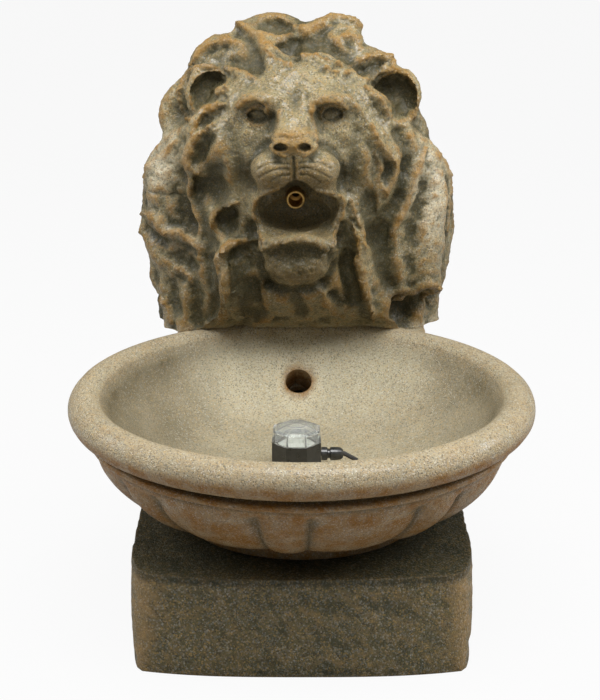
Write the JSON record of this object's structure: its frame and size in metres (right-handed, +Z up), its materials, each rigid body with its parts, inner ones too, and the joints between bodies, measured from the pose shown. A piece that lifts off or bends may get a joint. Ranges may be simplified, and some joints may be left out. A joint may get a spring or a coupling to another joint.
{
  "type": "garden fountain",
  "caption": "Free-standing sandstone garden fountain: a lion's head pours into an oval fluted basin with a lamp, on a hollow plinth with a pump.",
  "frame": {"origin": "on the floor, under the middle of the object's bounding box", "axes": "+Z up, -Y towards the front where the lion looks, +X to the viewer's right when seen from the front"},
  "size_m": [0.3992, 0.4266, 0.5008],
  "materials": {
    "cast_sandstone": "cast sandstone, sealed, satin, speckled with quartz and washed with brown",
    "dark_sandstone": "the same casting, darker and rougher, with rusty edges",
    "brass": "satin, a little tarnished",
    "black_plastic": "matte moulded",
    "grey_plastic": "matte moulded",
    "clear_plastic": "clear moulded polycarbonate, glossy",
    "black_rubber": "matte rubber",
    "vinyl_hose": "soft translucent vinyl",
    "filter_foam": "open-cell foam",
    "stainless_steel": "plain bright steel",
    "circuit_board": "white lacquered board"
  },
  "bodies": {
    "fountain": {"back_column": "cast_sandstone", "basin": "cast_sandstone", "delivery_hose": "vinyl_hose", "hose_clip_lower": "stainless_steel", "hose_clip_upper": "stainless_steel", "impeller_shaft": "stainless_steel", "inlet_lead": "black_rubber", "lamp_gland": "black_plastic", "lamp_grommet": "black_rubber", "lamp_housing": "black_plastic", "lamp_lead": "black_rubber", "lead_junction": "black_plastic", "led_board": "circuit_board", "lens_seal": "black_rubber", "lion_head": "cast_sandstone", "plinth": "dark_sandstone", "power_inlet": "black_plastic", "pump_body": "black_plastic", "pump_gland": "black_rubber", "pump_lead": "black_rubber", "pump_volute": "black_plastic", "shaft_bush_inner": "black_rubber", "spout_tube": "brass", "suction_foot_1": "black_rubber", "suction_foot_2": "black_rubber", "suction_foot_3": "black_rubber", "suction_foot_4": "black_rubber"},
    "impeller": {"impeller": "grey_plastic"},
    "strainer": {"intake_strainer": "black_plastic", "filter_foam": "filter_foam", "shaft_bush_outer": "black_rubber"},
    "flow_dial": {"flow_dial": "grey_plastic"},
    "lamp_lens": {"lamp_lens": "clear_plastic"},
    "access_panel": {"access_panel": "cast_sandstone", "panel_screw_1": "stainless_steel", "panel_screw_2": "stainless_steel", "panel_screw_3": "stainless_steel", "panel_screw_4": "stainless_steel"},
    "drain_plug": {"drain_plug": "black_rubber"}
  },
  "joints": [
    {"name": "impeller_spin", "type": "hinge", "parent": "fountain", "child": "impeller", "pos_m": [0.0203, 0.143, 0.0376], "axis": [1, 0, 0], "continuous": true},
    {"name": "strainer_pull", "type": "slide", "parent": "fountain", "child": "strainer", "axis": [1, 0, 0], "range_m": [0, 0.03]},
    {"name": "flow_dial_turn", "type": "hinge", "parent": "strainer", "child": "flow_dial", "pos_m": [0.052, 0.143, 0.0376], "axis": [1, 0, 0], "range_deg": [0, 90]},
    {"name": "lens_lift", "type": "slide", "parent": "fountain", "child": "lamp_lens", "axis": [0, 0, 1], "range_m": [0, 0.04]},
    {"name": "access_panel_pull", "type": "slide", "parent": "fountain", "child": "access_panel", "axis": [0, 1, 0], "range_m": [0, 0.06]},
    {"name": "drain_plug_pull", "type": "slide", "parent": "fountain", "child": "drain_plug", "axis": [0, 1, 0], "range_m": [0, 0.03]}
  ]
}
